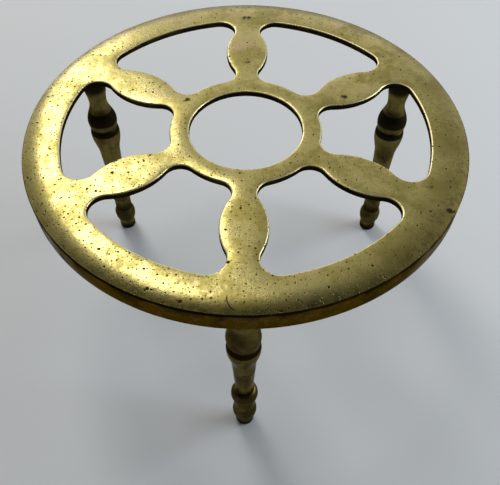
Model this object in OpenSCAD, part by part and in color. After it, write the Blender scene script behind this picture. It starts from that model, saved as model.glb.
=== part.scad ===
// Round pierced trivet: a flanged top casting on three turned legs.
// Millimetres. The origin is on the floor, under the centre of the plate, and +Z is up.
// The legs stand under every second spoke, one of them at the front (-Y).

/* [Plate] */
// Diameter of the plate over its outer wall
plate_d = 140; // [132:1:156]
// Diameter of the hole in the middle
hole_d = 36; // [32:1:40]
// Width of the ring round the middle hole
ring_w = 6.2; // [5:0.1:8]
// Width of the flat band outside the windows
rim_w = 11.7; // [10:0.1:13]
// Thickness of the pierced web
web_t = 2.2; // [1.2:0.1:3]
// Depth of the outer wall, from the top face to its lower edge
rim_h = 7.9; // [6:0.1:9.5]
// Thickness of the outer wall
lip_t = 2.2; // [1.6:0.1:2.8]
// Width of the band where the top face rolls down to the edge
crown_w = 6.8; // [5:0.1:10]
// How far the top face drops across that band
crown_drop = 1; // [0.4:0.1:1.2]
// Radius of the outer top corner
edge_r = 0.3; // [0.2:0.05:0.5]

/* [Spokes] */
// Width of a spoke across its belly
belly_w = 14.3; // [12.5:0.1:16]
// How far out the belly is, from 0 at the ring to 1 at the rim
belly_place = 0.478; // [0.4:0.002:0.56]
// Radius of the belly's curved sides, as a share of a window's length
belly_round = 0.616; // [0.5:0.002:0.76]
// Radius of a window's two corners at the ring
ring_corner_r = 5; // [4:0.1:6]
// Radius of a window's two corners at the rim
rim_corner_r = 5.5; // [4.5:0.1:6.5]

/* [Legs] */
// Height of the top face above the floor
stand_h = 82.5; // [76:0.5:95]
// Diameter of the collar that seats under the web
collar_d = 8.7; // [8:0.1:9.4]
// Height of the collar
collar_h = 6.1; // [5:0.1:8]
// Step in from the collar to the cove below it, on the radius
collar_step = 0.4; // [0.2:0.05:0.6]
// Diameter at the narrowest part of the neck
neck_d = 6.4; // [5.6:0.1:7]
// Length of the cove from the collar to the narrowest part of the neck
cove_h = 6.7; // [5:0.1:8]
// Length of the swell from the neck to the widest part of the ball
swell_h = 8.1; // [6:0.1:9]
// Diameter of the ball
ball_d = 10.8; // [10:0.1:12]
// Length of the ball below its widest part
ball_under_h = 3.2; // [2.5:0.1:4]
// Diameter at the bottom of the groove
groove_d = 9; // [8:0.1:9.6]
// Diameter of the shoulder under the groove
shoulder_d = 10.9; // [10:0.1:12]
// Length of the shoulder above its widest part
shoulder_over_h = 3.2; // [2.5:0.1:4]
// Length of the cup from the shoulder down to the stem
cup_h = 9.5; // [8:0.1:11]
// Diameter at the top of the stem
stem_top_d = 7.9; // [7:0.1:8.6]
// Diameter at the bottom of the stem
stem_low_d = 5.9; // [5.4:0.1:6.6]
// Diameter of the bead
bead_d = 9.3; // [8.2:0.1:9.8]
// Height of the bead
bead_h = 6.6; // [5:0.1:8]
// Diameter of the ankle between bead and foot
ankle_d = 6.8; // [5.8:0.1:7.2]
// Height of the ankle
ankle_h = 5.4; // [4:0.1:6.5]
// Diameter of the foot's bulge
foot_d = 8.6; // [7.8:0.1:9.4]
// Height of the foot's bulge
foot_h = 7.6; // [6:0.1:9]
// Diameter of the plain end that stands on the floor
base_d = 6.6; // [5.8:0.1:7.2]
// Height of the plain end
base_h = 5; // [3.5:0.1:6.5]

/* [Fits] */
// Diameter of the leg's spigot in the plate
spigot_d = 7; // [5.5:0.1:7.4]
// Clearance round the spigot, on the radius
spigot_gap = 0.05; // [0.03:0.01:0.09]
// Clearance between a collar and the inside of the outer wall
collar_gap = 0.45; // [0.3:0.05:0.8]

/* [Hidden] */

BRASS = "#b5a653";
BRASS_DARK = "#8a7c3a";
SPOKES = 6;
FRONT = 270;          // direction of the front spoke and leg
STEP = 360 / SPOKES;
CUT = 1;              // how far a cutting solid runs past a face
ARC_STEP = 6;         // degrees between points on a drawn arc
TURN_N = 8;           // points on each turned moulding
ROUND = 128;

plate_r = plate_d / 2;
hole_r = hole_d / 2;
ring_r = hole_r + ring_w;
rim_r = plate_r - rim_w;
belly_at = ring_r + belly_place * (rim_r - ring_r);
belly_r = belly_round * (rim_r - ring_r);
web_z = stand_h - web_t;
lip_z = stand_h - rim_h;
crown_r = plate_r - crown_w;
leg_r = plate_r - lip_t - collar_gap - collar_d / 2;
spigot_r = spigot_d / 2;

// A point at distance r and direction a from the origin.
function polar(r, a) = [r * cos(a), r * sin(a)];

// Where two circles about p and q with radii a and b cross, on the left of the line from p to q.
function crossing(p, a, q, b) =
    let (d = norm(q - p), x = (a * a - b * b + d * d) / (2 * d), y = sqrt(a * a - x * x), u = (q - p) / d)
    [p.x + x * u.x - y * u.y, p.y + x * u.y + y * u.x];

function direction(v) = atan2(v.y, v.x);

// Points on an arc about c, from direction a to direction b, without its first point.
function arc(c, r, a, b) =
    let (n = max(2, ceil(abs(b - a) / ARC_STEP)))
    [for (i = [1:n]) c + polar(r, a + (b - a) * i / n)];

// One window, drawn with its middle on +X. Every side is an arc, and each meets the next at a tangent:
// ring, corner, belly of the spoke, corner, rim. All but the ring and rim are worked out along the spoke
// at half a step from +X, and the lower half mirrors the upper one.
function turned(p) = [p.x * cos(STEP / 2) + p.y * sin(STEP / 2), p.x * sin(STEP / 2) - p.y * cos(STEP / 2)];
belly_c = turned([belly_at, belly_w / 2 - belly_r]);
ring_corner_c = turned(crossing([0, 0], ring_r + ring_corner_r, [belly_at, belly_w / 2 - belly_r],
                                belly_r + ring_corner_r));
rim_corner_c = turned(crossing([0, 0], rim_r - rim_corner_r, [belly_at, belly_w / 2 - belly_r],
                               belly_r + rim_corner_r));
ring_a = direction(ring_corner_c);
rim_a = direction(rim_corner_c);
belly_in = direction(ring_corner_c - belly_c);
belly_out = direction(rim_corner_c - belly_c);

half_window = concat(
    arc([0, 0], ring_r, 0, ring_a),
    arc(ring_corner_c, ring_corner_r, ring_a + 180, belly_in + 180),
    arc(belly_c, belly_r, belly_in, belly_out),
    arc(rim_corner_c, rim_corner_r, belly_out + 180, rim_a),
    arc([0, 0], rim_r, rim_a, 0));

function mirrored(points) = [for (i = [len(points) - 1:-1:0]) [points[i].x, -points[i].y]];

// The middle points on +X belong to both halves, so the mirrored half leaves its own one out.
window = concat([[ring_r, 0]], half_window, [for (i = [1:len(half_window) - 1]) mirrored(half_window)[i]]);

// The top face from the middle of the plate to its outer wall, as a cross section.
crown_top = concat(
    [for (i = [0:TURN_N]) let (t = i / TURN_N)
        [crown_r + (crown_w - edge_r) * t, stand_h - crown_drop * t * t]],
    [for (a = [75:-15:0]) [plate_r - edge_r, stand_h - crown_drop - edge_r] + polar(edge_r, a)]);

module plate_body() {
    rotate_extrude($fn = ROUND)
        polygon(concat([[hole_r, web_z], [hole_r, stand_h]], crown_top,
                       [[plate_r, lip_z], [plate_r - lip_t, lip_z], [plate_r - lip_t, web_z]]));
}

// Everything below the top face: it files the spigots flush.
module under_top() {
    rotate_extrude($fn = ROUND)
        polygon(concat([[0, 0], [0, stand_h]], crown_top, [[plate_r, 0]]));
}

module at_leg(a) {
    translate([leg_r * cos(a), leg_r * sin(a), 0]) children();
}

module top_plate() {
    color(BRASS)
    difference() {
        plate_body();
        for (i = [0:SPOKES - 1])
            rotate([0, 0, FRONT + STEP * (i + 0.5)])
                translate([0, 0, web_z - CUT]) linear_extrude(web_t + 2 * CUT) polygon(window);
        for (i = [0:2:SPOKES - 1])
            at_leg(FRONT + STEP * i)
                translate([0, 0, web_z - CUT]) cylinder(h = web_t + 2 * CUT, r = spigot_r + spigot_gap, $fn = ROUND);
    }
}

// Mouldings run down the leg, and a point is [radius, height]. Each leaves out its first point.
// A cove is vertical at both ends. A dome is vertical at its first end, or at its last end when it opens.
function cove(a, b) = [for (i = [1:TURN_N]) let (t = i / TURN_N)
    [a.x + (b.x - a.x) * (1 - cos(180 * t)) / 2, a.y + (b.y - a.y) * t]];
function dome(a, b) = [for (i = [1:TURN_N]) let (t = 90 * i / TURN_N)
    [b.x + (a.x - b.x) * cos(t), a.y + (b.y - a.y) * sin(t)]];
function opening_dome(a, b) = [for (i = [1:TURN_N]) let (t = 90 * i / TURN_N)
    [a.x + (b.x - a.x) * sin(t), b.y + (a.y - b.y) * cos(t)]];

collar_z = web_z - collar_h;
neck_z = collar_z - cove_h;
ball_z = neck_z - swell_h;
groove_z = ball_z - ball_under_h;
shoulder_z = groove_z - shoulder_over_h;
cup_z = shoulder_z - cup_h;
foot_z = base_h + foot_h;
bead_z = foot_z + ankle_h;
stem_z = bead_z + bead_h;

collar_foot = [collar_d / 2 - collar_step, collar_z];
neck = [neck_d / 2, neck_z];
ball = [ball_d / 2, ball_z];
groove = [groove_d / 2, groove_z];
shoulder = [shoulder_d / 2, shoulder_z];
stem_top = [stem_top_d / 2, cup_z];
stem_low = [stem_low_d / 2, stem_z];
bead = [bead_d / 2, bead_z + bead_h / 2];
ankle_top = [ankle_d / 2, bead_z];
ankle_low = [ankle_d / 2, foot_z];
foot = [foot_d / 2, base_h + foot_h / 2];
base_top = [base_d / 2, base_h];

leg_side = concat(
    [[0, web_z], [collar_d / 2, web_z], [collar_d / 2, collar_z], collar_foot],
    cove(collar_foot, neck),
    cove(neck, ball),
    dome(ball, groove),
    opening_dome(groove, shoulder),
    cove(shoulder, stem_top),
    [stem_low],
    opening_dome(stem_low, bead),
    dome(bead, ankle_top),
    [ankle_low],
    cove(ankle_low, foot),
    dome(foot, base_top),
    [[base_d / 2, 0], [0, 0]]);

module leg(a) {
    color(BRASS_DARK)
    union() {
        at_leg(a) rotate_extrude($fn = ROUND) polygon(leg_side);
        intersection() {
            at_leg(a) translate([0, 0, web_z]) cylinder(h = web_t + CUT, r = spigot_r, $fn = ROUND);
            under_top();
        }
    }
}

module leg_front() { leg(FRONT); }
module leg_back_right() { leg(FRONT + 2 * STEP); }
module leg_back_left() { leg(FRONT + 4 * STEP); }

top_plate();
leg_front();
leg_back_left();
leg_back_right();
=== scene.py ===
"""A round brass trivet: a pierced cast plate on three turned legs."""

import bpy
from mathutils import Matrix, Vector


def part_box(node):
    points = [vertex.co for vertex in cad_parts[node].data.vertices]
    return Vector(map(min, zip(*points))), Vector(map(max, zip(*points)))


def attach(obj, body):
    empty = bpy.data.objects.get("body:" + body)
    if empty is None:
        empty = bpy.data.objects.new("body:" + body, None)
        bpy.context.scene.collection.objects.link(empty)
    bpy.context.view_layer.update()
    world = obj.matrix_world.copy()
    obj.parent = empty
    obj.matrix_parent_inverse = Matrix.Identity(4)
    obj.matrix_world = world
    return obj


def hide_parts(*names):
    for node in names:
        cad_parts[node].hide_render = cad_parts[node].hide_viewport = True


bl_info = {
    "name": "Round brass trivet",
    "version": (1, 0, 0),
    "blender": (4, 5, 0),
    "location": "View3D > Sidebar > Trivet",
    "description": "Builds the plate, the turned legs and a plain stage round the packed model",
    "category": "Add Mesh",
}

import math

import bmesh
import bpy
import numpy as np
from bpy.props import FloatProperty, FloatVectorProperty, IntProperty, PointerProperty
from mathutils import Matrix, Vector, geometry, kdtree, noise

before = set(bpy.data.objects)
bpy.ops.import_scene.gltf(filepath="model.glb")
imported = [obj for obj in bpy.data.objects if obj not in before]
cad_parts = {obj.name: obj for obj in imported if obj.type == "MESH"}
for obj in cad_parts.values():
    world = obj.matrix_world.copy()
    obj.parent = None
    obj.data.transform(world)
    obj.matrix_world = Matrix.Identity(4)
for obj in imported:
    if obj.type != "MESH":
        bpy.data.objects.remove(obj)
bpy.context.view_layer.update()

MM = 0.001
BODY = "root"
PLATE_BRASS = "aged_plate_brass"
TURN = 2 * math.pi
QUARTER = math.pi / 2

# Directions of the spokes, and of the legs that stand under every second one. Front is -Y.
SPOKE_COUNT = 6
SPOKE_STEP = TURN / SPOKE_COUNT
FRONT = -QUARTER
LEG_DIRECTIONS = {
    "leg_front": FRONT,
    "leg_back_right": FRONT + 2 * SPOKE_STEP,
    "leg_back_left": FRONT + 4 * SPOKE_STEP,
}

# The frame gives the plate's outside, the height of its top face and the places of the legs.
PLATE_LOW, PLATE_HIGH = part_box("top_plate")
PLATE_R = PLATE_HIGH.x
TOP_Z = PLATE_HIGH.z
LIP_Z = PLATE_LOW.z
LEG_LOW, LEG_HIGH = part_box("leg_front")
LEG_R = -(LEG_LOW.y + LEG_HIGH.y) / 2

# Levels of the point attribute that tells the materials how the brass looks at each point: rubbed, clean,
# patina and dirt, and also shade painted dark into recesses, corners and under the plate.
RUBBED = -1.0
CLEAN = 0.0
BROWN = 0.6
# Dark brown level: dirt, and painted shade in corners, inside the plate's lip and at the legs' feet.
DIRT_AND_SHADE = 0.9
BLACK = 1.0

# Single marks on the plate's top face in millimetres. A pit is (x, y, radius), and a smudge is
# (x, y, half width, half depth).
DEEP_PITS = ((-31, 17.2, 0.5), (-1, -34, 0.5), (-25.2, -62.2, 0.55), (-16.3, -66.1, 0.6),
             (-46.3, -26.9, 0.45), (-39.6, -49.3, 0.5), (-66.8, 2, 0.45), (-29.2, -12.5, 0.4),
             (-6, 37, 0.45))
SMUDGES = ((54.6, -25.2, 1.2, 0.9), (59.1, -34, 1.6, 1.2), (-0.6, 59.8, 3.6, 1.4), (0, 33.6, 1.3, 0.9),
           (-19.5, 13.3, 1.6, 1.3), (32.3, 15.3, 1.5, 1.1))

# Quads across a small rounding, and the step along a window's edge as a share of the plate's mesh step.
CORNER_STEPS = 4
EDGE_STEP_SHARE = 0.75

# Rounding of the outer wall's lip and between wall and web, bevel under the windows, and the distance
# between points on the underside.
LIP_R = 0.3 * MM
WEB_CORNER_R = 0.8 * MM
UNDER_BEVEL = 0.15 * MM
UNDER_STEP = 2.6 * MM

# Points along a moulding and along the stem of a leg.
MOULDING_STEPS = 14
STEM_STEPS = 8

# Points closer than WELD are joined, and edges sharper than SHARP stay sharp.
WELD = 1e-7
SHARP = math.radians(50)

# Tints of the metal at a glancing angle.
WHITE = (1.0, 1.0, 1.0)
WALL_GLANCE = (0.48, 0.45, 0.38)
LEG_GLANCE = (0.56, 0.54, 0.48)

# The soft lights, in metres. Azimuth runs from +Y towards +X.
WINDOW = {"size": (0.24, 0.92), "azimuth": math.radians(-26.5), "elevation": math.radians(44),
          "distance": 0.85, "colour": (1.0, 0.99, 0.95)}
FILL = {"size": (0.6, 0.3), "azimuth": math.radians(84), "elevation": math.radians(17),
        "distance": 0.8, "colour": (0.9, 1.0, 1.14)}
ROOM_TINT = (1.0, 1.0, 0.94)

# Half the floor's width and the nearest distance that the camera sees, both in metres, and the width of
# the camera's sensor in millimetres.
FLOOR_HALF = 1.6
CLIP_START = 10 * MM
SENSOR_W = 36


# ---------------------------------------------------------------- settings


def length(name, description, size):
    """A length that a user can change, with its default in millimetres."""
    return FloatProperty(name=name, description=description, default=size * MM, unit="LENGTH")


def tint(name, description, default):
    """A colour that a user can change."""
    return FloatVectorProperty(
        name=name, description=description, default=default, size=3, min=0, max=1, subtype="COLOR")


class TrivetPlateSettings(bpy.types.PropertyGroup):
    """Sizes of the cast plate"""

    hole_r: length("Hole radius", "Radius of the middle hole", 18)
    ring_w: length("Ring width", "Width of the ring round the hole", 6.2)
    rim_w: length("Rim width", "Width of the band outside the windows", 11.7)
    web_t: length("Web thickness", "Thickness of the pierced web", 2.2)
    lip_t: length("Wall thickness", "Thickness of the outer wall", 2.2)
    crown_w: length("Crown width", "Width of the band that rolls down to the edge", 6.8)
    crown_drop: length("Crown drop", "How far the top face drops across the crown", 1)
    edge_r: length("Edge radius", "Radius of the outer top corner", 0.3)
    belly_w: length("Belly width", "Width of a spoke across its belly", 14.3)
    belly_at: length("Belly distance", "Distance of the belly from the middle", 40.5)
    belly_r: length("Belly radius", "Radius of the belly's curved sides", 21)
    ring_corner_r: length("Ring corner", "Radius of a window's corners at the ring", 5)
    rim_corner_r: length("Rim corner", "Radius of a window's corners at the rim", 5.5)
    worn_r: length("Worn edge", "Radius of the rubbed edges round the windows", 0.6)
    worn_drop: length("Worn drop", "How far the face is rubbed down towards a window", 0.3)
    worn_reach: length("Worn reach", "How far from a window the rubbing reaches", 1.3)
    wave: length("Wave", "Depth of the hand-filed waves in the top face", 0.1)
    wave_length: length("Wave length", "Length of the hand-filed waves", 16)
    mesh_step: length("Mesh step", "Distance between points on the top face", 0.6)


class TrivetLegSettings(bpy.types.PropertyGroup):
    """Sizes of the turned legs. Heights run down the leg from the web, and up it from the floor"""

    spigot_r: length("Spigot radius", "Radius of the spigot in the plate", 3.5)
    collar_r: length("Collar radius", "Radius of the collar", 4.35)
    collar_h: length("Collar height", "Height of the collar", 6.1)
    collar_step: length("Collar step", "Step in below the collar", 0.4)
    neck_r: length("Neck radius", "Radius of the neck", 3.2)
    cove_h: length("Cove", "Length from collar to neck", 6.7)
    swell_h: length("Swell", "Length from neck to ball", 8.1)
    ball_r: length("Ball radius", "Radius of the ball", 5.4)
    ball_under_h: length("Ball underside", "Length from ball to groove", 3.2)
    groove_r: length("Groove radius", "Radius at the bottom of the groove", 4.5)
    shoulder_r: length("Shoulder radius", "Radius of the shoulder", 5.45)
    shoulder_over_h: length("Shoulder top", "Length from groove to shoulder", 3.2)
    cup_h: length("Cup", "Length from shoulder to stem", 9.5)
    stem_top_r: length("Stem top", "Radius at the top of the stem", 3.95)
    stem_low_r: length("Stem bottom", "Radius at the bottom of the stem", 2.95)
    bead_r: length("Bead radius", "Radius of the bead", 4.65)
    bead_h: length("Bead height", "Height of the bead", 6.6)
    ankle_r: length("Ankle radius", "Radius of the ankle", 3.4)
    ankle_h: length("Ankle height", "Height of the ankle", 5.4)
    foot_r: length("Foot radius", "Radius of the foot's bulge", 4.3)
    foot_h: length("Foot height", "Height of the foot's bulge", 7.6)
    base_r: length("Base radius", "Radius of the plain end", 3.3)
    base_h: length("Base height", "Height of the plain end", 5)
    sides: IntProperty(
        name="Sides", description="Number of points round a leg", default=96, min=24, subtype="UNSIGNED")


class TrivetFinishSettings(bpy.types.PropertyGroup):
    """Colours of the old brass"""

    polished: tint("Polished", "Brass rubbed bright on the top face", (0.54, 0.462, 0.182))
    olive: tint("Olive", "Brass dulled by age", (0.315, 0.262, 0.075))
    worn: tint("Worn", "Clean metal on the rubbed edges", (0.78, 0.69, 0.40))
    # Dull olive brown, used as tarnish and as painted shade on the right of the rim and round its outer
    # edge.
    tarnish_and_shade: tint("Tarnish", "Dull olive brown towards the rim's outer edge", (0.13, 0.105, 0.028))
    copper: tint("Copper", "Pink stain where zinc has gone", (0.60, 0.43, 0.28))
    # Black-brown, used for dirt and for shade painted into corners, walls, grooves and under the plate.
    dirt_and_shade: tint("Dirt", "Black-brown dirt in pits and corners", (0.016, 0.012, 0.006))
    brown: tint("Brown", "Brown patina on the outer wall", (0.085, 0.058, 0.006))
    wall_red: tint("Wall red", "Redder patches of the patina on the outer wall", (0.13, 0.07, 0.024))
    leg_brass: tint("Leg brass", "Dull brass of the legs", (0.155, 0.125, 0.036))
    leg_brown: tint("Leg brown", "Brown patina on the legs", (0.075, 0.05, 0.014))


class TrivetStageSettings(bpy.types.PropertyGroup):
    """Floor, lights and camera"""

    floor_colour: tint("Floor", "Colour of the pale floor", (0.84, 0.855, 0.87))
    window_power: FloatProperty(
        name="Window power", description="Power of the tall soft light", default=2.85, unit="POWER")
    overhead_level: FloatProperty(
        name="Overhead level", description="Brightness of the room overhead", default=0.42)
    room_level: FloatProperty(
        name="Room level", description="Brightness of the room half way up", default=0.56)
    horizon_level: FloatProperty(
        name="Horizon level", description="Brightness of the room near the floor's level", default=1.0)
    front_share: FloatProperty(
        name="Front share", description="Brightness of the room's front against its back", default=0.1)
    fill_power: FloatProperty(
        name="Fill power", description="Power of the low light on the right", default=3.4, unit="POWER")
    camera_place: FloatVectorProperty(
        name="Camera", description="Place of the camera", size=3,
        default=(0.0025, -0.1538, 0.2142), subtype="TRANSLATION", unit="LENGTH")
    camera_down: FloatProperty(
        name="Tilt", description="How far the camera looks down", default=math.radians(57.17),
        unit="ROTATION")
    camera_side: FloatProperty(
        name="Pan", description="How far the camera looks to the left", default=math.radians(0.39),
        unit="ROTATION")
    camera_roll: FloatProperty(
        name="Roll", description="Roll of the camera", default=math.radians(0.10), unit="ROTATION")
    camera_lens: FloatProperty(
        name="Lens", description="Focal length in millimetres", default=44.07, unit="CAMERA")
    camera_shift: FloatProperty(
        name="Shift", description="Vertical shift of the view", default=0.135)


# ---------------------------------------------------------------- mesh helpers


def new_mesh_object(name, verts, faces, patina_and_shade):
    """A mesh object with smooth shading and, at each point, a level of patina, dirt and painted shade."""
    mesh = bpy.data.meshes.new(name)
    mesh.from_pydata([tuple(v) for v in verts], [], faces)
    mesh.validate()
    layer = mesh.attributes.new("patina_and_shade", "FLOAT", "POINT")
    layer.data.foreach_set("value", np.asarray(patina_and_shade, dtype=np.float32))
    mesh.polygons.foreach_set("use_smooth", [True] * len(mesh.polygons))
    mesh.update()
    piece = bpy.data.objects.new(name, mesh)
    bpy.context.scene.collection.objects.link(piece)
    return piece


def weld(piece):
    """Joins points that lie on one another and makes the faces' directions agree."""
    mesh = bmesh.new()
    mesh.from_mesh(piece.data)
    bmesh.ops.remove_doubles(mesh, verts=mesh.verts, dist=WELD)
    bmesh.ops.recalc_face_normals(mesh, faces=mesh.faces)
    for edge in mesh.edges:
        edge.smooth = edge.is_manifold and edge.calc_face_angle() < SHARP
    mesh.to_mesh(piece.data)
    mesh.free()


def polar(r, a):
    """The point at distance r in direction a."""
    return Vector((r * math.cos(a), r * math.sin(a)))


def direction(v):
    """The direction of a vector, as an angle from +X."""
    return math.atan2(v.y, v.x)


def crossing(p, a, q, b):
    """Where circles of radius a about p and b about q cross, on the left of the line from p to q."""
    d = (q - p).length
    x = (a * a - b * b + d * d) / (2 * d)
    y = math.sqrt(a * a - x * x)
    u = (q - p) / d
    return Vector((p.x + x * u.x - y * u.y, p.y + x * u.y + y * u.x))


def arc(centre, r, a, b, step):
    """Points about a step apart on an arc from direction a to b, without the first."""
    n = max(2, math.ceil(abs(b - a) * r / step))
    return [centre + polar(r, a + (b - a) * i / n) for i in range(1, n + 1)]


def small_corner(r, z, size, a, b, first=0):
    """Points of a small rounding about (r, z) in a profile, as (radius, height), from direction a to b."""
    turns = [a + (b - a) * k / CORNER_STEPS for k in range(first, CORNER_STEPS + 1)]
    return [(r + size * math.cos(turn), z + size * math.sin(turn)) for turn in turns]


def point_finder(points):
    """A search tree of flat points."""
    tree = kdtree.KDTree(len(points))
    for i, p in enumerate(points):
        tree.insert((p.x, p.y, 0), i)
    tree.balance()
    return tree


def inside(points, outline):
    """Which of the points lie inside a closed outline."""
    x, y = points[:, 0], points[:, 1]
    result = np.zeros(len(points), dtype=bool)
    corners = np.array([(p.x, p.y) for p in outline])
    for (x0, y0), (x1, y1) in zip(corners, np.roll(corners, -1, axis=0)):
        if y0 == y1:
            continue
        crosses = (y0 > y) != (y1 > y)
        result ^= crosses & (x < (x1 - x0) * (y - y0) / (y1 - y0) + x0)
    return result


def between(points, outer, holes):
    """Which of the points lie inside the outer outline and outside every hole."""
    keep = inside(points, outer)
    for hole in holes:
        keep &= ~inside(points, hole)
    return keep


def outset(outline, distance):
    """The outline moved sideways by a distance, away from its own middle."""
    n = len(outline)
    moved = []
    area = sum(outline[i - 1].x * outline[i].y - outline[i].x * outline[i - 1].y for i in range(n))
    side = 1 if area > 0 else -1
    for i in range(n):
        along = outline[(i + 1) % n] - outline[i - 1]
        out = Vector((along.y, -along.x)).normalized() * side
        moved.append(outline[i] + out * distance)
    return moved


def filled(outer, holes, step):
    """Triangles that fill the area between the outer outline and the holes. Returns points, faces and,
    for the outline and then for each hole, the indices of its points."""
    points, edges, spans = [], [], []
    for ring in [outer] + holes:
        first = len(points)
        points += [Vector(p) for p in ring]
        edges += [(first + i, first + (i + 1) % len(ring)) for i in range(len(ring))]
        spans.append(list(range(first, len(points))))
    # A grid of even triangles, without the points that come too close to an outline.
    row_share = math.sqrt(0.75)
    least_gap = step * 0.55
    reach = max(p.length for p in outer)
    rows = int(reach / (step * row_share)) + 1
    columns = int(reach / step) + 1
    grid = np.array([((i + 0.5 * (j % 2)) * step, j * step * row_share)
                     for j in range(-rows, rows + 1) for i in range(-columns, columns + 1)])
    near = point_finder(points)
    for x, y in grid[between(grid, outer, holes)]:
        if near.find((x, y, 0))[2] > least_gap:
            points.append(Vector((x, y)))
    whole_hull, tolerance = 0, 1e-9
    made = geometry.delaunay_2d_cdt(points, edges, [], whole_hull, tolerance)
    verts, faces = made[0], made[2]
    lookup = {}
    for new, old in enumerate(made[3]):
        for o in old:
            lookup[o] = new
    centres = np.array([[sum(verts[i].x for i in f) / 3, sum(verts[i].y for i in f) / 3] for f in faces])
    keep = between(centres, outer, holes)
    faces = [tuple(f) for f, k in zip(faces, keep) if k]
    return verts, faces, [[lookup[i] for i in span] for span in spans]


class MeshDraft:
    """Points, faces and levels of patina, dirt and painted shade of a mesh while it is put together."""

    def __init__(self):
        self.verts, self.faces, self.patina_and_shade = [], [], []

    def add(self, points, patina_and_shade):
        first = len(self.verts)
        self.verts += points
        self.patina_and_shade += [patina_and_shade] * len(points)
        return list(range(first, len(self.verts)))

    def bridge(self, a, b, flip=False):
        """Quads between two closed rings of the same length."""
        n = len(a)
        for i in range(n):
            quad = (a[i], a[(i + 1) % n], b[(i + 1) % n], b[i])
            self.faces.append(quad[::-1] if flip else quad)

    def carry_on(self, last, points, patina_and_shade, flip=False):
        """Adds a ring of points and joins it to the last ring."""
        row = self.add(points, patina_and_shade)
        self.bridge(last, row, flip)
        return row

    def add_sheet(self, points, faces, spans, patina_and_shade, flip=False):
        """Adds a filled sheet and returns the indices of its outlines."""
        first = len(self.verts)
        self.add(points, patina_and_shade)
        for face in faces:
            corners = tuple(first + i for i in face)
            self.faces.append(corners[::-1] if flip else corners)
        return [[first + i for i in span] for span in spans]


# ---------------------------------------------------------------- plate


class PlateShape:
    """Outlines and heights of the plate, worked out from its settings."""

    def __init__(self, s):
        self.s = s
        self.ring_r = s.hole_r + s.ring_w
        self.rim_r = PLATE_R - s.rim_w
        self.crown_r = PLATE_R - s.crown_w
        self.crown_end = PLATE_R - s.edge_r
        self.web_z = TOP_Z - s.web_t
        self.outlines = [self.circle(s.hole_r)]
        for i in range(SPOKE_COUNT):
            self.outlines.append(self.window(FRONT + SPOKE_STEP * (i + 0.5)))
        self.edges = point_finder([p for outline in self.outlines for p in outline])

    def circle(self, r):
        n = math.ceil(TURN * r / self.s.mesh_step)
        return [polar(r, TURN * i / n) for i in range(n)]

    def window(self, turn):
        """One window: ring, corner, belly of the spoke, corner and rim, each arc tangent to the next."""
        s = self.s
        step = s.mesh_step * EDGE_STEP_SHARE
        half = SPOKE_STEP / 2
        along = Vector((s.belly_at, s.belly_w / 2 - s.belly_r))
        origin = Vector((0, 0))

        def turned(p):
            return Vector((p.x * math.cos(half) + p.y * math.sin(half),
                           p.x * math.sin(half) - p.y * math.cos(half)))

        belly = turned(along)
        inner = turned(crossing(origin, self.ring_r + s.ring_corner_r, along, s.belly_r + s.ring_corner_r))
        outer = turned(crossing(origin, self.rim_r - s.rim_corner_r, along, s.belly_r + s.rim_corner_r))
        ring_a, rim_a = direction(inner), direction(outer)
        belly_in, belly_out = direction(inner - belly), direction(outer - belly)
        upper = arc(origin, self.ring_r, 0, ring_a, step)
        upper += arc(inner, s.ring_corner_r, ring_a + math.pi, belly_in + math.pi, step)
        upper += arc(belly, s.belly_r, belly_in, belly_out, step)
        upper += arc(outer, s.rim_corner_r, belly_out + math.pi, rim_a, step)
        upper += arc(origin, self.rim_r, rim_a, 0, step)
        lower = [Vector((p.x, -p.y)) for p in reversed(upper[:-1])]
        spin = Matrix.Rotation(turn, 2)
        return [spin @ p for p in [Vector((self.ring_r, 0))] + upper + lower]

    def top(self, x, y):
        """Height of the top face: crown, worn edges and hand-filed waves, never above the CAD's face."""
        s = self.s
        r = math.hypot(x, y)
        t = max(0.0, (r - self.crown_r) / (s.crown_w - s.edge_r))
        drop = s.crown_drop * min(t, 1.0) ** 2
        gap = self.edges.find((x, y, 0))[2]
        drop += s.worn_drop * math.exp(-gap / s.worn_reach)
        wave = noise.noise(Vector((x, y, 0)) / s.wave_length) * 0.5 + 0.5
        return TOP_Z - drop - s.wave * wave


def leg_places():
    """The middle of each leg, by the name of its node."""
    return {name: polar(LEG_R, turn) for name, turn in LEG_DIRECTIONS.items()}


def rubbed_wall(draft, shape, outline, ring):
    """The rubbed edge and the wall of the hole or of a window. Returns the wall's lowest ring."""
    s = shape.s
    bright_share = 0.7
    last = ring
    for k in range(1, CORNER_STEPS + 1):
        a = QUARTER * k / CORNER_STEPS
        moved = outset(outline, s.worn_r * (1 - math.sin(a)))
        fall = s.worn_r * (1 - math.cos(a))
        points = [Vector((p.x, p.y, draft.verts[i].z - fall)) for p, i in zip(moved, ring)]
        # The lower part of the rounding, where it turns into the wall, is painted dark as shade with dirt.
        level = RUBBED if k < bright_share * CORNER_STEPS else DIRT_AND_SHADE
        last = draft.carry_on(last, points, level, flip=True)
    # The wall darkens over its first third, painted shade in the recess with dirt, as (share of its depth,
    # level).
    for depth, level in ((0.06, 0.95), (0.3, BLACK), (0.85, BLACK)):
        drop = s.worn_r + (s.web_t - s.worn_r) * depth
        points = [Vector((p.x, p.y, TOP_Z - max(drop, TOP_Z - draft.verts[i].z + s.worn_r)))
                  for p, i in zip(outline, ring)]
        last = draft.carry_on(last, points, level, flip=True)
    return last


def spigot_wall(draft, shape, outline, ring):
    """The short plain wall of a spigot's hole. Returns its lowest ring."""
    least_drop = 0.1 * MM
    last = ring
    # Depths as shares of the web's thickness.
    for depth in (0.7, 0.9):
        z = TOP_Z - shape.s.web_t * depth
        points = [Vector((p.x, p.y, min(z, draft.verts[i].z - least_drop)))
                  for p, i in zip(outline, ring)]
        last = draft.carry_on(last, points, CLEAN, flip=True)
    return last


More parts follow.
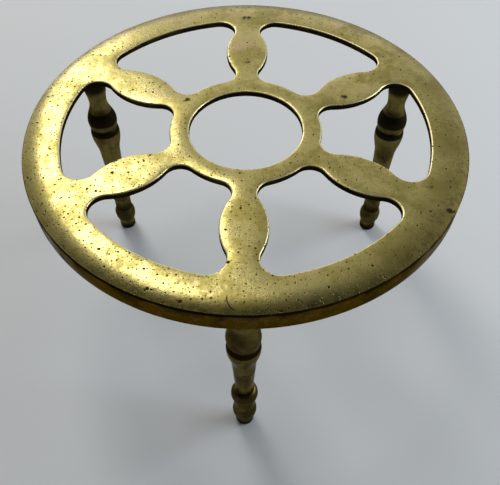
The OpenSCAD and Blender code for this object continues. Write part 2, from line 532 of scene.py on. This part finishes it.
def outer_profile(shape):
    """The outer wall from its top corner down, round the lip and up inside to the web, as (point, level),
    where a point is (radius, height). A black band under the corner is a painted dark reflection, and the
    black inside is painted shade."""
    s = shape.s
    top = TOP_Z - s.crown_drop - s.edge_r
    dark_reflection_band = 0.45 * MM
    below_band, mid_wall = 0.66, 0.55
    inner_r = PLATE_R - s.lip_t
    lip_z = LIP_Z + LIP_R
    corner_z = shape.web_z - WEB_CORNER_R
    wall = [((PLATE_R, top - dark_reflection_band), BLACK), ((PLATE_R, top - 2 * dark_reflection_band), below_band),
            ((PLATE_R, (top + LIP_Z) / 2), mid_wall), ((PLATE_R, lip_z), BROWN)]
    lip_out = small_corner(PLATE_R - LIP_R, lip_z, LIP_R, 0, -QUARTER, first=1)
    lip_in = small_corner(inner_r + LIP_R, lip_z, LIP_R, -QUARTER, -2 * QUARTER)
    web_corner = small_corner(inner_r - WEB_CORNER_R, corner_z, WEB_CORNER_R, 0, QUARTER)
    wall += [(p, BROWN) for p in lip_out] + [(p, DIRT_AND_SHADE) for p in lip_in]
    return wall + [((inner_r, corner_z), BLACK)] + [(p, BLACK) for p in web_corner]


def outer_wall(draft, shape, outer, ring):
    """Outer corner and wall, down to the lip and up inside it to the web. Returns the last ring."""
    s = shape.s
    edge_level, darkening = 0.4, 0.9
    last = ring
    # The corner's rounding is painted darker towards the wall, as part of the painted dark reflection.
    for k in range(1, CORNER_STEPS + 1):
        a = QUARTER * k / CORNER_STEPS
        grow = (shape.crown_end + s.edge_r * math.sin(a)) / shape.crown_end
        fall = s.edge_r * (1 - math.cos(a))
        points = [Vector((p.x * grow, p.y * grow, draft.verts[i].z - fall)) for p, i in zip(outer, ring)]
        last = draft.carry_on(last, points, min(BLACK, edge_level + darkening * k / CORNER_STEPS))
    for (r, z), level in outer_profile(shape):
        points = [Vector((p.x * r / shape.crown_end, p.y * r / shape.crown_end, z)) for p in outer]
        last = draft.carry_on(last, points, level)
    return last


def plate_mesh(shape, spigot_r, sides):
    """The plate: top face, walls of the openings, outer wall and underside."""
    s = shape.s
    draft = MeshDraft()
    # The spigots are burnished into their holes, so a hole is no wider than its spigot.
    spigot_holes = [[place + polar(spigot_r, TURN * i / sides) for i in range(sides)]
                    for place in leg_places().values()]
    holes = [outset(o, s.worn_r) for o in shape.outlines] + spigot_holes
    outer = shape.circle(shape.crown_end)
    points, faces, spans = filled(outer, holes, s.mesh_step)
    face = [Vector((p.x, p.y, shape.top(p.x, p.y))) for p in points]
    rings = draft.add_sheet(face, faces, spans, CLEAN)
    first_spigot = 1 + len(shape.outlines)
    lows = [rubbed_wall(draft, shape, outline, ring)
            for outline, ring in zip(shape.outlines, rings[1:first_spigot])]
    lows += [spigot_wall(draft, shape, outline, ring)
             for outline, ring in zip(spigot_holes, rings[first_spigot:])]
    lip_inner = outer_wall(draft, shape, outer, rings[0])

    # Underside of the web, with a small bevel at the hole and at each window, painted black as shade under
    # the plate.
    under_holes = [outset(o, UNDER_BEVEL) for o in shape.outlines] + spigot_holes
    under_outer = [draft.verts[i].xy for i in lip_inner]
    points, faces, spans = filled(under_outer, under_holes, UNDER_STEP)
    under = [Vector((p.x, p.y, shape.web_z)) for p in points]
    rings = draft.add_sheet(under, faces, spans, BLACK, flip=True)
    for low, ring in zip(lows, rings[1:]):
        draft.bridge(low, ring, flip=True)
    draft.bridge(lip_inner, rings[0])
    return draft


class TRIVET_OT_plate(bpy.types.Operator):
    """Make the pierced plate with its rubbed edges, crown and outer wall"""

    bl_idname = "trivet.plate"
    bl_label = "Plate"

    def execute(self, context):
        shape = PlateShape(context.scene.trivet_plate)
        legs = context.scene.trivet_legs
        draft = plate_mesh(shape, legs.spigot_r, legs.sides)
        piece = new_mesh_object("plate", draft.verts, draft.faces, draft.patina_and_shade)
        weld(piece)
        piece.data.materials.append(plate_brass(context.scene.trivet_finish))
        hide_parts("top_plate")
        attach(piece, BODY)
        return {"FINISHED"}


# ---------------------------------------------------------------- legs


def even(t):
    """How far a straight line has come at a share t of its points. The next three are curved."""
    return t


def sway(t):
    return (1 - math.cos(math.pi * t)) / 2


def slow_start(t):
    return 1 - math.cos(QUARTER * t)


def slow_end(t):
    return math.sin(QUARTER * t)


def moulding(a, b, outward=sway, downward=even, steps=MOULDING_STEPS):
    """Points from a to b, as (radius, height), without a. It runs straight down at both ends, unless other
    rules say how far out and down it has come."""
    shares = [i / steps for i in range(1, steps + 1)]
    return [(a[0] + (b[0] - a[0]) * outward(t), a[1] + (b[1] - a[1]) * downward(t)) for t in shares]


def dome(a, b):
    """A quarter round that runs straight down at its first end."""
    return moulding(a, b, slow_start, slow_end)


def opening_dome(a, b):
    """A quarter round that runs straight down at its last end."""
    return moulding(a, b, slow_end, slow_start)


def cut_corner(r, size):
    """The first two of three points round a small corner that ends at height 0, as (radius, height)."""
    share = 0.3
    return [(r, size), (r - share * size, share * size)]


class LegShape:
    """Heights, outline and patina of a leg, worked out from its settings."""

    def __init__(self, s, web_z):
        self.s = s
        self.web_z = web_z
        self.collar_z = web_z - s.collar_h
        self.neck_z = self.collar_z - s.cove_h
        self.ball_z = self.neck_z - s.swell_h
        self.groove_z = self.ball_z - s.ball_under_h
        self.shoulder_z = self.groove_z - s.shoulder_over_h
        self.cup_z = self.shoulder_z - s.cup_h
        self.foot_z = s.base_h + s.foot_h / 2
        self.foot_top_z = s.base_h + s.foot_h
        self.bead_z = self.foot_top_z + s.ankle_h + s.bead_h / 2

    def side(self):
        """Outline from under the web to the floor, as (radius, height)."""
        s = self.s
        collar_edge = 0.3 * MM
        base_edge = 0.5 * MM
        neck = (s.neck_r, self.neck_z)
        ball = (s.ball_r, self.ball_z)
        groove = (s.groove_r, self.groove_z)
        shoulder = (s.shoulder_r, self.shoulder_z)
        stem_top = (s.stem_top_r, self.cup_z)
        stem_low = (s.stem_low_r, self.bead_z + s.bead_h / 2)
        bead = (s.bead_r, self.bead_z)
        ankle_top = (s.ankle_r, self.bead_z - s.bead_h / 2)
        ankle_low = (s.ankle_r, self.foot_top_z)
        foot = (s.foot_r, self.foot_z)
        points = [(s.collar_r - collar_edge, self.web_z)]
        points += [(r, self.web_z - h) for r, h in reversed(cut_corner(s.collar_r, collar_edge))]
        # The collar's lower edge is only broken a little, as (how far in, how far up).
        points += [(s.collar_r - inwards, self.collar_z + up)
                   for inwards, up in ((0, 0.25 * MM), (0.08 * MM, 0.06 * MM), (s.collar_step, 0))]
        points += moulding(points[-1], neck) + moulding(neck, ball) + dome(ball, groove)
        points += opening_dome(groove, shoulder) + moulding(shoulder, stem_top)
        points += moulding(stem_top, stem_low, even, even, STEM_STEPS)
        points += opening_dome(stem_low, bead) + dome(bead, ankle_top) + [ankle_low]
        points += moulding(ankle_low, foot) + dome(foot, (s.base_r, s.base_h))
        return points + cut_corner(s.base_r, base_edge) + [(s.base_r - base_edge, 0)]

    def dirt_and_shade_bands(self, grimy_and_shaded):
        """Dark bands as (height, half width, level): a painted shadow, thick in the groove under the ball
        and on the shoulder's top, and thinner bands on the mouldings. A grimy, shaded back leg also has
        painted shade and dirt on its collar, ball and ankle."""
        thin = 0.5
        bands = [(self.groove_z - 1.2 * MM, 1.35 * MM, BLACK), (self.ball_z + 1 * MM, 9 * MM, thin),
                 (self.bead_z, 5 * MM, thin), (self.foot_z, 5 * MM, thin)]
        if grimy_and_shaded:
            bands += [(self.web_z, 1.7 * self.s.collar_h, 0.95), (self.ball_z + 2 * MM, 3.4 * MM, BLACK),
                      (self.foot_top_z + 1 * MM, 3 * MM, 0.75)]
        return bands

    def patina_and_shade(self, side, grimy_and_shaded):
        """Level at each point of the outline, from its radius, its hollows, the bands and the plain end."""
        s = self.s
        haze = 0.15
        reach = 2
        deep_hollow = 0.12 * MM
        band_slope = 2.2
        end_fade = 1.5 * MM
        bands = self.dirt_and_shade_bands(grimy_and_shaded)
        levels = []
        for i, (r, z) in enumerate(side):
            below = side[min(i + reach, len(side) - 1)][0]
            above = side[max(i - reach, 0)][0]
            hollow = max(0.0, (below + above) / 2 - r) / deep_hollow
            level = haze + haze * (1 - r / s.shoulder_r) + haze * hollow
            for middle, half, most in bands:
                near = max(0.0, 1 - abs(z - middle) / half)
                level = max(level, most * min(1.0, band_slope * near))
            # The plain end darkens towards the floor, painted shade.
            level = max(level, DIRT_AND_SHADE * min(1.0, max(0.0, (s.base_h - z) / end_fade)))
            levels.append(min(BLACK, level))
        return levels


def spigot_cap(draft, plate, place, spigot_r, spin):
    """The spigot's end, filed flush with the plate's top face. Returns its outer ring."""
    n = len(spin)
    centre = draft.add([Vector((place.x, place.y, plate.top(place.x, place.y)))], CLEAN)[0]
    last = None
    for share in (0.2, 0.4, 0.6, 0.8, 1):
        r = spigot_r * share
        flat = [(place.x + r * u.x, place.y + r * u.y) for u in spin]
        row = draft.add([Vector((x, y, plate.top(x, y))) for x, y in flat], CLEAN)
        if last is None:
            draft.faces += [(centre, row[i], row[(i + 1) % n]) for i in range(n)]
        else:
            draft.bridge(last, row, flip=True)
        last = row
    return last


def leg_mesh(s, plate, place, grimy_and_shaded):
    """One turned leg: spigot, mouldings and a flat end on the floor. Returns the draft and how many of its
    first faces are the spigot's end."""
    draft = MeshDraft()
    clean_h = 0.8 * MM
    n = s.sides
    spin = [polar(1, TURN * i / n) for i in range(n)]
    last = spigot_cap(draft, plate, place, s.spigot_r, spin)
    cap_faces = len(draft.faces)
    leg = LegShape(s, plate.web_z)
    side = leg.side()
    # The spigot inside the plate is painted black, as shade in its hole.
    outline = [(s.spigot_r, TOP_Z - clean_h), (s.spigot_r, plate.web_z)] + side
    for (r, z), level in zip(outline, [BLACK, BLACK] + leg.patina_and_shade(side, grimy_and_shaded)):
        ring = [Vector((place.x + r * u.x, place.y + r * u.y, z)) for u in spin]
        last = draft.carry_on(last, ring, level, flip=True)
    end = draft.add([Vector((place.x, place.y, 0))], BLACK)[0]
    draft.faces += [(end, last[(i + 1) % n], last[i]) for i in range(n)]
    return draft, cap_faces


class TRIVET_OT_legs(bpy.types.Operator):
    """Make the three turned legs under the plate"""

    bl_idname = "trivet.legs"
    bl_label = "Legs"

    def execute(self, context):
        plate = PlateShape(context.scene.trivet_plate)
        brass = leg_brass(context.scene.trivet_finish)
        for name, place in leg_places().items():
            # The back legs, which stand under the plate, get more painted shade and dirt.
            draft, cap_faces = leg_mesh(context.scene.trivet_legs, plate, place, grimy_and_shaded=place.y > 0)
            piece = new_mesh_object("turned_" + name, draft.verts, draft.faces, draft.patina_and_shade)
            piece.data.materials.append(brass)
            # The spigot's end is filed and worn with the plate's face, so it looks like the plate.
            piece.data.materials.append(bpy.data.materials[PLATE_BRASS])
            for face in piece.data.polygons[:cap_faces]:
                face.material_index = 1
            weld(piece)
            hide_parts(name)
            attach(piece, BODY)
        return {"FINISHED"}


# ---------------------------------------------------------------- materials


class NodeTree:
    """Small helper to write the nodes of a material or of the world in order."""

    def __init__(self, owner, shader="Principled BSDF"):
        owner.use_nodes = True
        self.owner = owner
        self.tree = owner.node_tree
        self.shader = self.tree.nodes[shader]
        self.coordinates = self.add("ShaderNodeTexCoord").outputs
        self.place = self.coordinates["Object"]

    def add(self, kind, **settings):
        """A new node with these settings."""
        node = self.tree.nodes.new(kind)
        for key, value in settings.items():
            setattr(node, key, value)
        return node

    def put(self, value, socket):
        """Links one socket to another, or sets a number, a vector or a colour on it."""
        if isinstance(value, bpy.types.NodeSocket):
            self.tree.links.new(value, socket)
        elif hasattr(value, "__len__"):
            opaque = (1.0,) if len(socket.default_value) == 4 else ()
            socket.default_value = tuple(value) + opaque
        else:
            socket.default_value = value

    def split(self, value, kind="ShaderNodeSeparateXYZ"):
        """The parts of a vector or of a colour."""
        node = self.add(kind)
        self.put(value, node.inputs[0])
        return node.outputs

    def scaled(self, scale, rotation=(0, 0, 0)):
        """The place on the object, turned and stretched."""
        node = self.add("ShaderNodeMapping")
        self.put(self.place, node.inputs["Vector"])
        self.put(scale, node.inputs["Scale"])
        self.put(rotation, node.inputs["Rotation"])
        return node.outputs["Vector"]

    def noise(self, scale, detail, rough, vector=None):
        node = self.add("ShaderNodeTexNoise")
        self.put(vector or self.place, node.inputs["Vector"])
        for key, number in (("Scale", scale), ("Detail", detail), ("Roughness", rough)):
            self.put(number, node.inputs[key])
        return node.outputs["Fac"]

    def remap(self, value, low, high, to_low=0.0, to_high=1.0):
        """A smooth step: to_low where the value is under low, to_high where it is over high."""
        node = self.add("ShaderNodeMapRange", interpolation_type="SMOOTHSTEP")
        self.put(value, node.inputs["Value"])
        for key, number in (("From Min", low), ("From Max", high), ("To Min", to_low), ("To Max", to_high)):
            self.put(number, node.inputs[key])
        return node.outputs["Result"]

    def math(self, kind, a, b=0.0, c=0.0, clamp=False):
        node = self.add("ShaderNodeMath", operation=kind, use_clamp=clamp)
        for value, socket in zip((a, b, c), node.inputs):
            self.put(value, socket)
        return node.outputs["Value"]

    def plus(self, a, b, clamp=False):
        return self.math("ADD", a, b, clamp=clamp)

    def minus(self, a, b):
        return self.math("SUBTRACT", a, b)

    def times(self, a, b):
        return self.math("MULTIPLY", a, b)

    def most(self, first, *others):
        for value in others:
            first = self.math("MAXIMUM", first, value)
        return first

    def distance(self, x, y):
        return self.math("SQRT", self.plus(self.times(x, x), self.times(y, y)))

    def vector(self, kind, *values):
        """A calculation with vectors. A length comes back as a number."""
        node = self.add("ShaderNodeVectorMath", operation=kind)
        for value, socket in zip(values, node.inputs):
            self.put(value, socket)
        return node.outputs["Value" if kind == "LENGTH" else "Vector"]

    def mix(self, factor, a, b):
        """Colour a where the factor is 0, and colour b where it is 1."""
        node = self.add("ShaderNodeMix", data_type="RGBA")
        for key, value in (("Factor_Float", factor), ("A_Color", a), ("B_Color", b)):
            self.put(value, next(socket for socket in node.inputs if socket.identifier == key))
        return next(socket for socket in node.outputs if socket.identifier == "Result_Color")

    def patina_and_shade(self):
        """The patina level that the mesh holds."""
        return self.add("ShaderNodeAttribute", attribute_name="patina_and_shade").outputs["Fac"]

    def bump(self, height, distance, strength, normal=None):
        """The surface's direction once this height is added to the bumps before it."""
        node = self.add("ShaderNodeBump")
        self.put(height, node.inputs["Height"])
        self.put(distance, node.inputs["Distance"])
        self.put(strength, node.inputs["Strength"])
        if normal is not None:
            self.put(normal, node.inputs["Normal"])
        return node.outputs["Normal"]

    def metal(self, colour, rough, bumps):
        """Makes the shader a metal with this colour, roughness and surface, and returns the material."""
        surface = {"Base Color": colour, "Roughness": rough, "Normal": bumps, "Metallic": 1.0}
        for key, value in surface.items():
            self.put(value, self.shader.inputs[key])
        return self.owner


def ragged_plan(t):
    """Places seen from above, shifted a little here and there, so that pits drawn on them are ragged."""
    fineness = 2600
    shift = 0.34 * MM
    wobble = t.add("ShaderNodeTexNoise", noise_dimensions="2D")
    t.put(t.place, wobble.inputs["Vector"])
    wobble.inputs["Scale"].default_value = fineness
    centred = t.vector("SUBTRACT", wobble.outputs["Color"], (0.5, 0.5, 0.5))
    return t.vector("MULTIPLY_ADD", centred, (shift, shift, 0), t.place)


def pits(t, plan, scale, radius, share):
    """Casting pits seen from above: 1 inside a pit, 0 outside. Scale is the number of cells per metre,
    radius is a middling pit's in cells, and share says how many of the cells hold a pit."""
    least = 0.75
    cell = t.add("ShaderNodeTexVoronoi", voronoi_dimensions="2D")
    t.put(plan, cell.inputs["Vector"])
    cell.inputs["Scale"].default_value = scale
    chance = t.split(cell.outputs["Color"], "ShaderNodeSeparateColor")
    size = t.math("POWER", chance["Green"], 2.0)
    wide = t.math("MULTIPLY_ADD", size, radius, radius * least)
    hit = t.math("LESS_THAN", chance["Red"], share)
    return t.times(hit, t.remap(t.math("DIVIDE", cell.outputs["Distance"], wide), 0.6, 1.05, 1.0, 0.0))


def marks(t, places, low, high):
    """Oval marks at given places on the plate: 1 in the middle of each, fading to 0 between low and high,
    which are shares of its half width. A place ends with its half depth, or with its radius."""
    found = None
    for place in places:
        x, y, half_w, half_d = place[0] * MM, place[1] * MM, place[2] * MM, place[-1] * MM
        off = t.vector("SUBTRACT", t.place, (x, y, 0))
        share = t.vector("MULTIPLY", off, (1 / half_w, 1 / half_d, 0))
        one = t.remap(t.vector("LENGTH", share), low, high, 1.0, 0.0)
        found = one if found is None else t.most(found, one)
    return found


def leg_joint_mark(t, x, y):
    """The dark crescent where the front leg's spigot has opened from the plate on one side."""
    middle_x, middle_y, crescent_r = -0.40 * MM, -65.1 * MM, 3.75 * MM
    open_x, open_y = -0.88, -0.47
    off_x = t.plus(x, -middle_x)
    off_y = t.plus(y, -middle_y)
    away = t.math("ABSOLUTE", t.minus(t.distance(off_x, off_y), crescent_r))
    line = t.remap(away, 0.08 * MM, 0.24 * MM, 1.0, 0.0)
    side = t.plus(t.times(off_x, open_x), t.times(off_y, open_y))
    return t.times(line, t.remap(side, 2.3 * MM, 3.5 * MM))


def face_colour(t, finish, x, y, tone, grain):
    """Rubbed and olive patches, copper stains towards the back, and tarnish darkened further as painted
    shade on the right of the rim and all round its outer edge."""
    copper_cover = 0.6
    colour = t.mix(t.remap(tone, 0.42, 0.60), finish.polished, finish.olive)
    stain = t.remap(t.noise(scale=75, detail=5, rough=0.68), 0.51, 0.68)
    back = t.remap(y, 0, 45 * MM)
    colour = t.mix(t.times(t.times(stain, back), copper_cover), colour, finish.copper)
    r = t.distance(x, y)
    # Darker towards the right and the outer edge: tarnish and painted shade.
    right = t.remap(t.minus(x, t.times(y, 0.25)), 28 * MM, 65 * MM)
    right_shade_and_tarnish = t.times(right, t.remap(r, 54 * MM, 68 * MM, 0.15, 0.85))
    shade_and_tarnish = t.most(right_shade_and_tarnish, t.remap(r, 63 * MM, 69.5 * MM, 0.0, 0.72))
    return t.mix(t.times(shade_and_tarnish, t.remap(grain, 0.35, 0.6, 1.0, 0.6)), colour, finish.tarnish_and_shade)


def face_specks(t, x, y, patina_and_shade):
    """Pits on the top face, more of them towards the front left, and the single deep ones."""
    front_left = t.remap(t.plus(t.times(x, -5.0), t.times(y, -6.0)), -0.25, 0.4)
    share = t.math("MULTIPLY_ADD", front_left, 0.6, 0.35)
    plan = ragged_plan(t)
    fine = t.times(pits(t, plan, scale=760, radius=0.10, share=t.times(share, 0.8)), 0.95)
    small = pits(t, plan, scale=400, radius=0.09, share=share)
    large = pits(t, plan, scale=150, radius=0.052, share=t.times(share, 0.6))
    on_face = t.remap(patina_and_shade, 0.1, 0.3, 1.0, 0.0)
    return t.times(t.most(fine, small, large, marks(t, DEEP_PITS, 0.6, 1.1)), on_face)


def scratches(t):
    """Fine scratches in two directions, 1 on average."""
    along = t.noise(scale=1, detail=2, rough=0.5, vector=t.scaled((2600, 260, 260), (0, 0, 0.6)))
    across = t.noise(scale=1, detail=2, rough=0.5, vector=t.scaled((300, 2200, 300), (0, 0, -0.35)))
    return t.plus(along, across)


def plate_brass(finish):
    """Old cast brass: rubbed bright on top, dirt in pits, dirt and painted shade on the walls, stains and
    fine scratches.
    """
    t = NodeTree(bpy.data.materials.new(PLATE_BRASS))
    speck_cover, haze_cover, wall_unevenness = 0.95, 0.35, 0.35
    scratch_rough, dirt_and_shade_rough, worn_rough = 0.08, 0.35, 0.2
    place = t.split(t.place)
    x, y = place["X"], place["Y"]
    patina_and_shade = t.patina_and_shade()
    worn = t.remap(patina_and_shade, -0.9, -0.1, 1.0, 0.0)
    on_wall = t.remap(patina_and_shade, 0.2, 0.5)
    clouds = t.noise(scale=100, detail=5, rough=0.62)
    mottle = t.noise(scale=1100, detail=3, rough=0.65)
    grain = t.noise(scale=420, detail=4, rough=0.7)
    tone = t.plus(t.times(clouds, 0.6), t.times(grain, 0.4))
    specks = face_specks(t, x, y, patina_and_shade)

    # Dirt in the pits, as a haze, in smudges and at the front leg's joint, and dirt with painted shade on
    # the walls and the underside.
    haze = t.times(t.remap(mottle, 0.56, 0.78), haze_cover)
    smudges = t.times(marks(t, SMUDGES, 0.4, 1.2), t.remap(grain, 0.42, 0.58, 0.3, 0.95))
    uneven = t.math("MULTIPLY_ADD", t.remap(clouds, 0.35, 0.65, -0.5, 0.5), wall_unevenness, patina_and_shade)
    wall_dirt_and_shade = t.times(t.remap(uneven, 0.55, 0.95), on_wall)
    dirt_and_shade = t.most(t.times(specks, speck_cover), haze, smudges, leg_joint_mark(t, x, y), wall_dirt_and_shade)

    # The face, its bright rubbed edges and the brown and reddish walls.
    colour = t.mix(worn, face_colour(t, finish, x, y, tone, grain), finish.worn)
    wall = t.mix(t.remap(grain, 0.45, 0.6), finish.brown, finish.wall_red)
    colour = t.mix(t.remap(patina_and_shade, 0.12, 0.5), colour, wall)
    colour = t.mix(dirt_and_shade, colour, finish.dirt_and_shade)
    t.put(t.mix(on_wall, WHITE, WALL_GLANCE), t.shader.inputs["Specular Tint"])

    lines = scratches(t)
    rough = t.plus(t.remap(tone, 0.38, 0.62, 0.20, 0.34), t.times(t.minus(lines, 1.0), scratch_rough))
    rough = t.plus(rough, t.times(dirt_and_shade, dirt_and_shade_rough), clamp=True)
    rough = t.plus(rough, t.times(worn, worn_rough), clamp=True)

    bumps = t.bump(mottle, distance=0.04 * MM, strength=0.6)
    bumps = t.bump(grain, 0.07 * MM, 0.5, bumps)
    bumps = t.bump(lines, 0.004 * MM, 0.5, bumps)
    bumps = t.bump(t.minus(1.0, specks), 0.06 * MM, 0.8, bumps)
    return t.metal(colour, rough, bumps)


def leg_brass(finish):
    """Turned brass gone brown and olive, with turning marks, black specks of dirt, and black painted shade
    and dirt in the groove and the other dark bands.
    """
    t = NodeTree(bpy.data.materials.new("aged_leg_brass"))
    speck_cover, dirt_and_shade_rough = 0.6, 0.25
    clouds = t.noise(scale=140, detail=4, rough=0.6)
    colour = t.mix(t.remap(clouds, 0.40, 0.66), finish.leg_brass, finish.leg_brown)
    specks = t.times(t.remap(t.noise(scale=380, detail=3, rough=0.6), 0.6, 0.7), speck_cover)
    dirt_and_shade = t.most(t.remap(t.patina_and_shade(), 0.25, 0.85), specks)
    colour = t.mix(dirt_and_shade, colour, finish.dirt_and_shade)
    t.put(LEG_GLANCE, t.shader.inputs["Specular Tint"])
    rough = t.plus(t.remap(clouds, 0.35, 0.7, 0.22, 0.36), t.times(dirt_and_shade, dirt_and_shade_rough), clamp=True)
    turning = t.noise(scale=1, detail=2, rough=0.5, vector=t.scaled((60, 60, 2600)))
    bumps = t.bump(turning, distance=0.012 * MM, strength=0.6)
    bumps = t.bump(t.noise(scale=700, detail=3, rough=0.6), 0.02 * MM, 0.5, bumps)
    return t.metal(colour, rough, bumps)


def floor_paint(colour):
    """Plain matt floor, with a hint of cloudiness."""
    t = NodeTree(bpy.data.materials.new("floor_paint"))
    shade = 0.985
    clouds = t.noise(scale=6, detail=2, rough=0.5)
    t.put(t.mix(clouds, [c * shade for c in colour], colour), t.shader.inputs["Base Color"])
    t.shader.inputs["Roughness"].default_value = 0.75
    t.shader.inputs["Specular IOR Level"].default_value = 0.2
    return t.owner


# ---------------------------------------------------------------- stage


def soft_light(name, power, size, azimuth, elevation, distance, colour):
    """A large area light that shines on the middle of the plate."""
    data = bpy.data.lights.new(name, "AREA")
    data.shape = "RECTANGLE"
    data.size, data.size_y = size
    data.energy = power
    data.color = colour
    light = bpy.data.objects.new(name, data)
    bpy.context.scene.collection.objects.link(light)
    way = Vector((math.sin(azimuth) * math.cos(elevation), math.cos(azimuth) * math.cos(elevation),
                  math.sin(elevation)))
    light.location = Vector((0, 0, TOP_Z)) + way * distance
    light.rotation_euler = (-way).to_track_quat("-Z", "Y").to_euler()


def room_light(s):
    """The room round the object: pale at the back near the floor's level, dimmer overhead and in front."""
    world = bpy.data.worlds.new("room")
    bpy.context.scene.world = world
    t = NodeTree(world, "Background")
    way = t.split(t.coordinates["Generated"])
    ramp = t.add("ShaderNodeValToRGB")
    t.put(way["Z"], ramp.inputs["Fac"])
    # Brightness from the horizon up, as (sine of the elevation, level).
    skirting_share = 0.6
    levels = ((0.06, s.horizon_level * skirting_share), (0.36, s.horizon_level), (0.62, s.room_level),
              (0.9, s.overhead_level))
    stops = ramp.color_ramp.elements
    while len(stops) < len(levels):
        stops.new(0.5)
    for stop, (at, level) in zip(stops, levels):
        stop.position = at
        stop.color = [level * c for c in ROOM_TINT] + [1.0]
    t.put(ramp.outputs["Color"], t.shader.inputs["Color"])
    t.put(t.remap(way["Y"], -0.1, 0.75, s.front_share, 1.0), t.shader.inputs["Strength"])


def pale_floor(colour):
    """A large flat floor at height 0."""
    corners = [Vector((x * FLOOR_HALF, y * FLOOR_HALF, 0)) for x, y in ((-1, -1), (1, -1), (1, 1), (-1, 1))]
    floor = new_mesh_object("floor", corners, [(0, 1, 2, 3)], [CLEAN] * len(corners))
    floor.data.materials.append(floor_paint(colour))


def stage_camera(s):
    """The camera, in front of the object and above it."""
    data = bpy.data.cameras.new("camera")
    data.sensor_width = SENSOR_W
    data.lens = s.camera_lens
    data.shift_y = s.camera_shift
    data.clip_start = CLIP_START
    camera = bpy.data.objects.new("camera", data)
    bpy.context.scene.collection.objects.link(camera)
    camera.location = s.camera_place
    camera.rotation_mode = "QUATERNION"
    turn = Matrix.Rotation(s.camera_side, 3, "Z")
    tilt = Matrix.Rotation(QUARTER - s.camera_down, 3, "X")
    roll = Matrix.Rotation(s.camera_roll, 3, "Z")
    camera.rotation_quaternion = (turn @ tilt @ roll).to_quaternion()
    bpy.context.scene.camera = camera


class TRIVET_OT_stage(bpy.types.Operator):
    """Make the pale floor, the soft light and the camera"""

    bl_idname = "trivet.stage"
    bl_label = "Stage"

    def execute(self, context):
        s = context.scene.trivet_stage
        pale_floor(s.floor_colour)
        soft_light("window", s.window_power, **WINDOW)
        soft_light("fill", s.fill_power, **FILL)
        room_light(s)
        stage_camera(s)
        context.scene.view_settings.view_transform = "Standard"
        return {"FINISHED"}


# ---------------------------------------------------------------- add-on


class TRIVET_PT_panel(bpy.types.Panel):
    """Lists the pieces and their settings"""

    bl_idname = "TRIVET_PT_panel"
    bl_label = "Round brass trivet"
    bl_space_type = "VIEW_3D"
    bl_region_type = "UI"
    bl_category = "Trivet"

    def draw(self, context):
        layout = self.layout
        groups = (("trivet.plate", "trivet_plate"), ("trivet.legs", "trivet_legs"),
                  (None, "trivet_finish"), ("trivet.stage", "trivet_stage"))
        for action, group in groups:
            box = layout.box()
            settings = getattr(context.scene, group)
            for key in settings.__annotations__:
                box.prop(settings, key)
            if action:
                box.operator(action)


CLASSES = (TrivetPlateSettings, TrivetLegSettings, TrivetFinishSettings, TrivetStageSettings,
           TRIVET_OT_plate, TRIVET_OT_legs, TRIVET_OT_stage, TRIVET_PT_panel)
SETTINGS = (("trivet_plate", TrivetPlateSettings), ("trivet_legs", TrivetLegSettings),
            ("trivet_finish", TrivetFinishSettings), ("trivet_stage", TrivetStageSettings))


def register():
    for item in CLASSES:
        bpy.utils.register_class(item)
    for name, group in SETTINGS:
        setattr(bpy.types.Scene, name, PointerProperty(type=group))


def unregister():
    for name, _ in SETTINGS:
        delattr(bpy.types.Scene, name)
    for item in reversed(CLASSES):
        bpy.utils.unregister_class(item)


def main():
    register()
    bpy.ops.trivet.plate()
    bpy.ops.trivet.legs()
    bpy.ops.trivet.stage()


if __name__ == "__main__":
    main()
